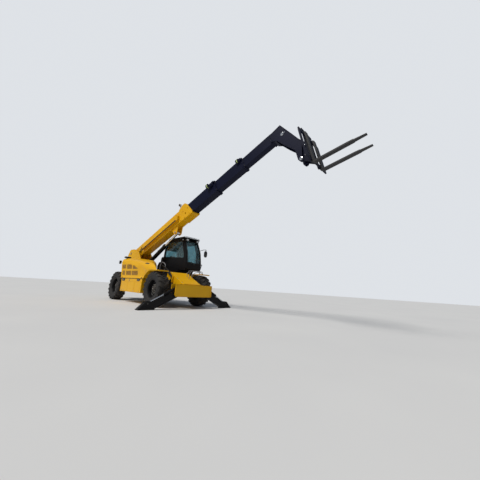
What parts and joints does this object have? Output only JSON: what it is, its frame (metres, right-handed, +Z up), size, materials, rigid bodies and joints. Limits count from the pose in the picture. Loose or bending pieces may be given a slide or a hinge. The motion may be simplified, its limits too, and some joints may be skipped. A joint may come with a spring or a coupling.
{
  "type": "telehandler",
  "caption": "Rough-terrain telehandler with a raised telescopic boom, fork carriage, side cab, steered wheels and lowered front stabilisers.",
  "frame": {"origin": "bottom centre of the whole object's box, on the floor under the middle of its length and width", "axes": "+X forward along the machine, +Y to its left, +Z up"},
  "size_m": [11.8413, 3.9, 5.8376],
  "materials": {
    "yellow_paint": "satin machine paint, a little dusty",
    "dark_paint": "blue-black gloss paint",
    "black_paint": "black satin paint",
    "frame_grey": "dark chassis paint",
    "tyre_rubber": "rubber with dust",
    "rod_chrome": "ground and plated rod",
    "cab_glass": "tinted pane",
    "seat_cloth": "woven seat cover",
    "trim_plastic": "moulded trim",
    "grille_mesh": "punched sheet in the body colour",
    "engine_iron": "cast block",
    "fork_steel": "forged fork, worn paint"
  },
  "bodies": {
    "chassis": {"chassis_frame": "frame_grey", "boom_tower": "yellow_paint", "lift_lugs": "frame_grey", "rear_counterweight": "yellow_paint", "tow_hitch": "black_paint", "front_nose": "yellow_paint", "fender_front_left": "yellow_paint", "fender_front_right": "yellow_paint", "stabiliser_beam": "yellow_paint", "axle_front": "frame_grey", "axle_rear": "frame_grey", "engine_bed": "frame_grey", "engine_block": "engine_iron", "side_tank": "yellow_paint", "cab_frame": "black_paint", "cab_glass": "cab_glass", "cab_roof": "black_paint", "driver_seat": "seat_cloth", "steering_column": "trim_plastic", "steering_wheel": "trim_plastic", "mirror": "trim_plastic", "step_box": "black_paint", "hydraulic_tank": "black_paint", "work_lamps": "trim_plastic"},
    "engine_hood": {"engine_hood": "yellow_paint", "hood_grilles": "grille_mesh"},
    "cab_door": {"cab_door": "black_paint", "door_glass": "cab_glass"},
    "boom": {"boom_outer": "yellow_paint", "hose_tray": "yellow_paint"},
    "boom_second": {"boom_second": "dark_paint"},
    "boom_third": {"boom_third": "dark_paint"},
    "boom_fourth": {"boom_fourth": "dark_paint", "boom_head": "dark_paint"},
    "lift_barrel": {"lift_barrel": "black_paint"},
    "lift_rod": {"lift_rod": "rod_chrome"},
    "tilt_barrel": {"tilt_barrel": "dark_paint"},
    "tilt_rod": {"tilt_rod": "rod_chrome"},
    "carriage": {"fork_carriage": "dark_paint", "fork_left": "fork_steel", "fork_right": "fork_steel"},
    "knuckle_front_left": {"knuckle_front_left": "frame_grey"},
    "wheel_front_left": {"tyre_front_left": "tyre_rubber", "rim_front_left": "black_paint"},
    "knuckle_front_right": {"knuckle_front_right": "frame_grey"},
    "wheel_front_right": {"tyre_front_right": "tyre_rubber", "rim_front_right": "black_paint"},
    "knuckle_rear_left": {"knuckle_rear_left": "frame_grey"},
    "wheel_rear_left": {"tyre_rear_left": "tyre_rubber", "rim_rear_left": "black_paint"},
    "knuckle_rear_right": {"knuckle_rear_right": "frame_grey"},
    "wheel_rear_right": {"tyre_rear_right": "tyre_rubber", "rim_rear_right": "black_paint"},
    "stabiliser_left": {"stabiliser_leg_left": "black_paint"},
    "stabiliser_barrel_left": {"stabiliser_barrel_left": "black_paint"},
    "stabiliser_rod_left": {"stabiliser_rod_left": "rod_chrome"},
    "stabiliser_right": {"stabiliser_leg_right": "black_paint"},
    "stabiliser_barrel_right": {"stabiliser_barrel_right": "black_paint"},
    "stabiliser_rod_right": {"stabiliser_rod_right": "rod_chrome"}
  },
  "joints": [
    {"name": "steer_front_left", "type": "hinge", "parent": "chassis", "child": "knuckle_front_left", "pos_m": [-1.15, 0.77, 0.6], "axis": [0, 0, 1], "range_deg": [-32, 32]},
    {"name": "spin_front_left", "type": "hinge", "parent": "knuckle_front_left", "child": "wheel_front_left", "pos_m": [-1.15, 0.975, 0.6], "axis": [0, 1, 0], "continuous": true},
    {"name": "steer_front_right", "type": "hinge", "parent": "chassis", "child": "knuckle_front_right", "pos_m": [-1.15, -0.77, 0.6], "axis": [0, 0, 1], "range_deg": [-32, 32]},
    {"name": "spin_front_right", "type": "hinge", "parent": "knuckle_front_right", "child": "wheel_front_right", "pos_m": [-1.15, -0.975, 0.6], "axis": [0, 1, 0], "continuous": true},
    {"name": "steer_rear_left", "type": "hinge", "parent": "chassis", "child": "knuckle_rear_left", "pos_m": [-4.59, 0.77, 0.6], "axis": [0, 0, 1], "range_deg": [-32, 32]},
    {"name": "spin_rear_left", "type": "hinge", "parent": "knuckle_rear_left", "child": "wheel_rear_left", "pos_m": [-4.59, 0.975, 0.6], "axis": [0, 1, 0], "continuous": true},
    {"name": "steer_rear_right", "type": "hinge", "parent": "chassis", "child": "knuckle_rear_right", "pos_m": [-4.59, -0.77, 0.6], "axis": [0, 0, 1], "range_deg": [-32, 32]},
    {"name": "spin_rear_right", "type": "hinge", "parent": "knuckle_rear_right", "child": "wheel_rear_right", "pos_m": [-4.59, -0.975, 0.6], "axis": [0, 1, 0], "continuous": true},
    {"name": "boom_lift", "type": "hinge", "parent": "chassis", "child": "boom", "pos_m": [-5.44, 0, 2.165], "axis": [0, -1, 0], "range_deg": [-23.1, 47.9]},
    {"name": "lift_barrel_swing", "type": "hinge", "parent": "chassis", "child": "lift_barrel", "pos_m": [-5.09, 0, 1.08], "axis": [0, -1, 0], "range_deg": [-21.06, 43.13]},
    {"name": "lift_rod_slide", "type": "slide", "parent": "lift_barrel", "child": "lift_rod", "axis": [0.8707, 0, 0.4917], "range_m": [-0.422, 0.8644]},
    {"name": "boom_extend", "type": "slide", "parent": "boom", "child": "boom_second", "axis": [0.9265, 0, 0.3762], "range_m": [-1.2, 2]},
    {"name": "third_extend", "type": "slide", "parent": "boom_second", "child": "boom_third", "axis": [0.9265, 0, 0.3762], "range_m": [-1.205, 2.005]},
    {"name": "fourth_extend", "type": "slide", "parent": "boom_third", "child": "boom_fourth", "axis": [0.9265, 0, 0.3762], "range_m": [-1.205, 2.005]},
    {"name": "fork_tilt", "type": "hinge", "parent": "boom_fourth", "child": "carriage", "pos_m": [4.222, 0, 4.347], "axis": [0, -1, 0], "range_deg": [-70, 8]},
    {"name": "tilt_barrel_swing", "type": "hinge", "parent": "boom_fourth", "child": "tilt_barrel", "pos_m": [3.602, 0, 5.457], "axis": [0, -1, 0], "range_deg": [-0.94, 4.35]},
    {"name": "tilt_rod_slide", "type": "slide", "parent": "tilt_barrel", "child": "tilt_rod", "axis": [0.727, 0, -0.6866], "range_m": [-0.0603, 0.4888]},
    {"name": "stabiliser_left", "type": "hinge", "parent": "chassis", "child": "stabiliser_left", "pos_m": [-0.28, 0.62, 0.52], "axis": [1, 0, 0], "range_deg": [0, 65]},
    {"name": "stabiliser_left_barrel_swing", "type": "hinge", "parent": "chassis", "child": "stabiliser_barrel_left", "pos_m": [-0.28, 0.5, 0.77], "axis": [1, 0, 0], "range_deg": [-0.5, 58.6]},
    {"name": "stabiliser_left_rod_slide", "type": "slide", "parent": "stabiliser_barrel_left", "child": "stabiliser_rod_left", "axis": [0, 0.8913, -0.4534], "range_m": [-0.27, 0.005]},
    {"name": "stabiliser_right", "type": "hinge", "parent": "chassis", "child": "stabiliser_right", "pos_m": [-0.28, -0.62, 0.52], "axis": [-1, 0, 0], "range_deg": [0, 65]},
    {"name": "stabiliser_right_barrel_swing", "type": "hinge", "parent": "chassis", "child": "stabiliser_barrel_right", "pos_m": [-0.28, -0.5, 0.77], "axis": [-1, 0, 0], "range_deg": [-0.5, 58.6]},
    {"name": "stabiliser_right_rod_slide", "type": "slide", "parent": "stabiliser_barrel_right", "child": "stabiliser_rod_right", "axis": [0, -0.8913, -0.4534], "range_m": [-0.27, 0.005]},
    {"name": "door_hinge", "type": "hinge", "parent": "chassis", "child": "cab_door", "pos_m": [-2.885, 1.085, 1.8], "axis": [0, 0, 1], "range_deg": [0, 85]},
    {"name": "hood_hinge", "type": "hinge", "parent": "chassis", "child": "engine_hood", "pos_m": [-2.59, -0.345, 1.84], "axis": [-1, 0, 0], "range_deg": [0, 55]}
  ],
  "couplings": [
    {"joint": "steer_front_right", "follows": "steer_front_left", "ratio": 1},
    {"joint": "steer_rear_left", "follows": "steer_front_left", "ratio": -1},
    {"joint": "steer_rear_right", "follows": "steer_front_left", "ratio": -1},
    {"joint": "lift_barrel_swing", "follows": "boom_lift", "ratio": 0.89},
    {"joint": "lift_rod_slide", "follows": "boom_lift", "m_per_rad": 1.022},
    {"joint": "third_extend", "follows": "boom_extend", "ratio": 1},
    {"joint": "fourth_extend", "follows": "boom_extend", "ratio": 1},
    {"joint": "tilt_barrel_swing", "follows": "fork_tilt", "ratio": -0.055},
    {"joint": "tilt_rod_slide", "follows": "fork_tilt", "m_per_rad": -0.396},
    {"joint": "stabiliser_left_barrel_swing", "follows": "stabiliser_left", "ratio": 0.8932},
    {"joint": "stabiliser_left_rod_slide", "follows": "stabiliser_left", "m_per_rad": -0.2329},
    {"joint": "stabiliser_right_barrel_swing", "follows": "stabiliser_right", "ratio": 0.8932},
    {"joint": "stabiliser_right_rod_slide", "follows": "stabiliser_right", "m_per_rad": -0.2329}
  ]
}
